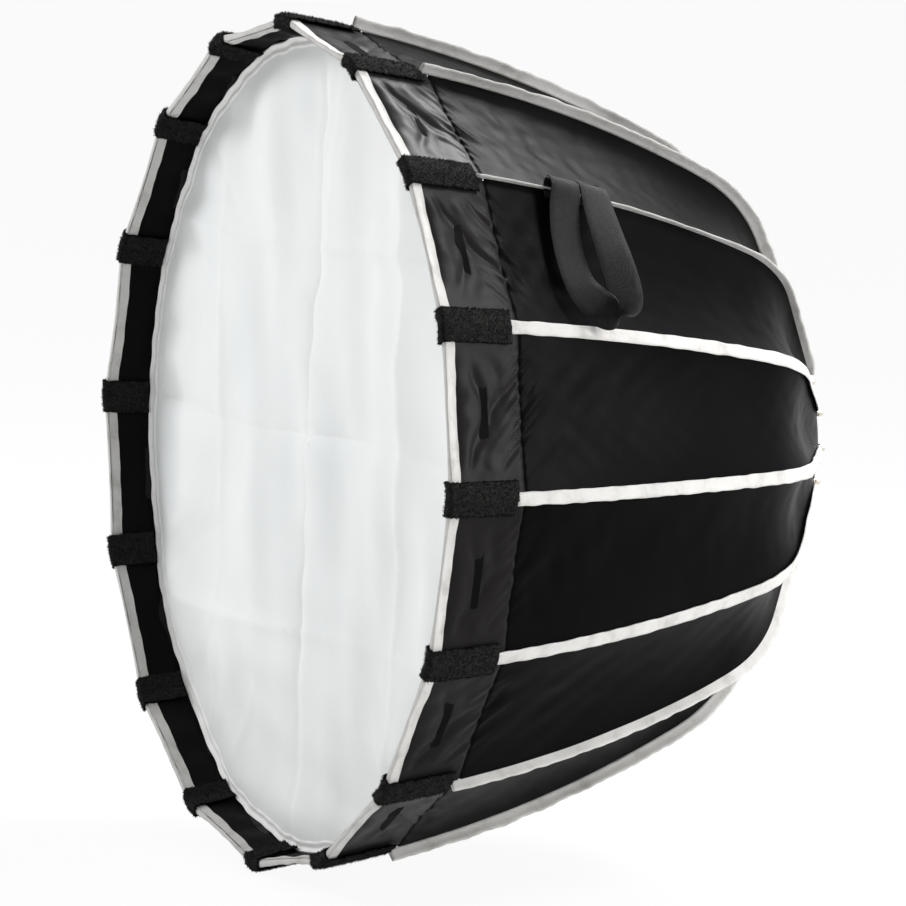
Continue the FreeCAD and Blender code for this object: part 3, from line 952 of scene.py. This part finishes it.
def makeDiffuser():
    shares = diffuserRows()
    columns = diffuser["columns"]
    count = diffuser["parts"] * columns
    turn = np.linspace(0, 2 * math.pi, count + 1)
    ss, tt = np.meshgrid(shares, turn, indexing="ij")
    points = diffuserGrid(tt, ss)
    around = np.concatenate([points[:, -2:-1], points, points[:, 1:2]], axis=1)
    normals = turnTowards(gridNormals(around)[:, 1:-1], np.array([0, -1, 0]))
    hemRow = int(np.searchsorted(shares, 1 - diffuser["hem"] / diffuser["radius"]))
    for part in range(diffuser["parts"]):
        span = slice(part * columns, (part + 1) * columns + 1)
        build = Build()
        build.slab(points[:hemRow + 1, span], normals[:hemRow + 1, span], diffuser["thickness"])
        build.slab(points[hemRow:, span], normals[hemRow:, span], diffuser["thickness"], 1, 1)
        piece = build.finish("diffuser_part_%02d" % (part + 1), [diffuse, hem])
        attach(piece, "ring")
        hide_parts("front_diffuser")
        drawIn(piece)


def drawIn(piece):
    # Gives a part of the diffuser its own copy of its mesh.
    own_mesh(piece)


makeDiffuser()
print("diffuser made")

strap = {
    "rib": 2, "width": .035, "thickness": .0016, "steps": 150, "keep": .2,
    # Half of the webbing's section, as shares of the half width and half thickness.
    "section": [(-1, 0), (-.96, .8), (-.6, 1), (0, 1), (.6, 1), (.96, .8)],
    # Share across the panel, length back from the rim, height over it and turn of the face.
    "route": [(.06, .177, .002, 0), (-.03, .177, .005, 0), (-.045, .177, .0135, 0),
              (.03, .176, .0175, -3), (.15, .173, .0125, -6), (.32, .170, .0085, -7),
              (.52, .169, .0080, -9), (.70, .170, .0120, -17), (.83, .175, .018, -36),
              (.93, .182, .025, -62), (.985, .190, .031, -90), (.97, .196, .0355, -114),
              (.88, .200, .0375, -131), (.75, .202, .037, -141), (.57, .203, .034, -149),
              (.38, .205, .029, -158), (.18, .208, .0235, -166), (.0, .212, .0185, -176),
              (-.05, .213, .0115, -180), (-.03, .213, .005, -180), (.06, .213, .002, -180)],
}


def splineThrough(points, count):
    # Smooth curve through listed points.
    points = np.array(points, float)
    knots = np.concatenate([[2 * points[0] - points[1]], points, [2 * points[-1] - points[-2]]])
    found = []
    for place in np.linspace(0, len(points) - 1.0001, count):
        k, t = int(place), place - int(place)
        a, b, c, d = knots[k:k + 4]
        found.append(.5 * (2 * b + (c - a) * t + (2 * a - 5 * b + 4 * c - d) * t ** 2
                           + (3 * b - a - 3 * c + d) * t ** 3))
    return np.array(found)


def makeStrap():
    route = splineThrough(strap["route"], strap["steps"])
    u, s, height, turn = route.T
    place, face = onPanel(strap["rib"], s, u, ribLine["fabricOffset"])
    face = unit(face)
    centre = place + face * height[:, None]
    way = unit(np.gradient(centre, axis=0))
    flat = unit(np.cross(way, face))
    up = np.cross(flat, way)
    angle = np.radians(turn)[:, None]
    wide = flat * np.cos(angle) + up * np.sin(angle)
    thick = np.cross(wide, way)
    half, t = strap["width"] / 2, strap["thickness"] / 2
    section = strap["section"] + [(-x, -z) for x, z in strap["section"]]
    points = np.stack([centre + wide * half * x + thick * t * z for x, z in section], axis=1)
    build = Build()
    build.tube(points, points)
    piece = makePiece("strap_loop", np.concatenate(build.verts), build.faces, [strapCloth])
    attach(piece, frontBody(strap["rib"]))
    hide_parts("strap_handle")
    gatherUp(piece)


makeStrap()
print("strap made")


lights = {
    # Strength of the white room on the object, and the share of the floor that is plain white.
    "room": .40, "floor": .93,
    "lamps": [
        # Name, place, aim, size, power.
        ("key", (-2.9, -3.6, 2.3), (0, -.5, 0), 1.6, 118),
        ("side", (3.2, 3.2, 1.0), (0, -.35, 0), 2.0, 150),
        ("topNear", (1.15, 1.4, 2.6), (0, -.35, .2), 1.0, 70),
        ("topFar", (-1.1, 1.4, 2.6), (0, -.35, .2), 1.3, 95),
    ],
}


def mathNode(tree, operation, first, second):
    node = tree.nodes.new("ShaderNodeMath")
    node.operation = operation
    for socket, value in zip(node.inputs, (first, second)):
        if isinstance(value, float):
            socket.default_value = value
        else:
            tree.links.new(value, socket)
    return node.outputs[0]


def makeFloor():
    # Pale ground, mostly plain white to the camera.
    low, far = cadBox[0][2] - .001, 30
    corners = [(-far, -far, low), (far, -far, low), (far, far, low), (-far, far, low)]
    material, tree, shader = newMaterial("palePaper", rough=.9, spec=0)
    shader.inputs["Base Color"].default_value = (.9, .9, .9, 1)
    light = tree.nodes.new("ShaderNodeEmission")
    light.inputs["Strength"].default_value = 1
    path = tree.nodes.new("ShaderNodeLightPath")
    seen = mathNode(tree, "MAXIMUM", path.outputs["Is Camera Ray"], path.outputs["Is Glossy Ray"])
    mix = tree.nodes.new("ShaderNodeMixShader")
    tree.links.new(mathNode(tree, "MULTIPLY", seen, lights["floor"]), mix.inputs["Fac"])
    tree.links.new(shader.outputs[0], mix.inputs[1])
    tree.links.new(light.outputs[0], mix.inputs[2])
    tree.links.new(mix.outputs[0], tree.nodes["Material Output"].inputs["Surface"])
    makePiece("floor", corners, [(0, 1, 2, 3)], [material])


def makeWorld():
    world = bpy.data.worlds.new("room")
    bpy.context.scene.world = world
    world.use_nodes = True
    tree = world.node_tree
    back = tree.nodes["Background"]
    path = tree.nodes.new("ShaderNodeLightPath")
    seen = mathNode(tree, "MAXIMUM", path.outputs["Is Camera Ray"], path.outputs["Is Glossy Ray"])
    seen = mathNode(tree, "MAXIMUM", seen, path.outputs["Is Transmission Ray"])
    level = rangeNode(tree, seen, lights["room"], 1)
    tree.links.new(level, back.inputs["Strength"])
    back.inputs["Color"].default_value = (1, 1, 1, 1)


def makeLights():
    for name, place, aim, size, power in lights["lamps"]:
        data = bpy.data.lights.new(name, "AREA")
        data.shape, data.size, data.energy = "DISK", size, power
        lamp = bpy.data.objects.new(name, data)
        lamp.location = place
        lamp.rotation_euler = (Vector(aim) - Vector(place)).to_track_quat("-Z", "Y").to_euler()
        bpy.context.scene.collection.objects.link(lamp)


camera = {
    "azimuth": 64.36, "elevation": 6.785, "roll": 2.28, "distance": 6.9337, "lens": 267.7,
    "aimRight": .1902, "aimUp": -.0083, "aimY": -.580,
}


def makeCamera():
    az, el, roll = (math.radians(camera[k]) for k in ("azimuth", "elevation", "roll"))
    back = Vector((math.sin(az) * math.cos(el), -math.cos(az) * math.cos(el), math.sin(el)))
    right = (-back).cross(Vector((0, 0, 1))).normalized()
    up = right.cross(-back)
    turnedRight = right * math.cos(roll) + up * math.sin(roll)
    turnedUp = up * math.cos(roll) - right * math.sin(roll)
    aim = Vector((0, camera["aimY"], 0)) + turnedRight * camera["aimRight"]
    aim = aim + turnedUp * camera["aimUp"]
    data = bpy.data.cameras.new("view")
    data.lens = camera["lens"]
    data.sensor_width = 36
    data.clip_end = 100
    view = bpy.data.objects.new("view", data)
    bpy.context.scene.collection.objects.link(view)
    matrix = view.matrix_world.copy()
    for row in range(3):
        matrix[row][0], matrix[row][1], matrix[row][2] = turnedRight[row], turnedUp[row], back[row]
        matrix[row][3] = (aim + back * camera["distance"])[row]
    view.matrix_world = matrix
    bpy.context.scene.camera = view


makeFloor()
makeWorld()
makeLights()
makeCamera()
bpy.context.scene.view_settings.view_transform = "Standard"
print("stage, lights and camera set")
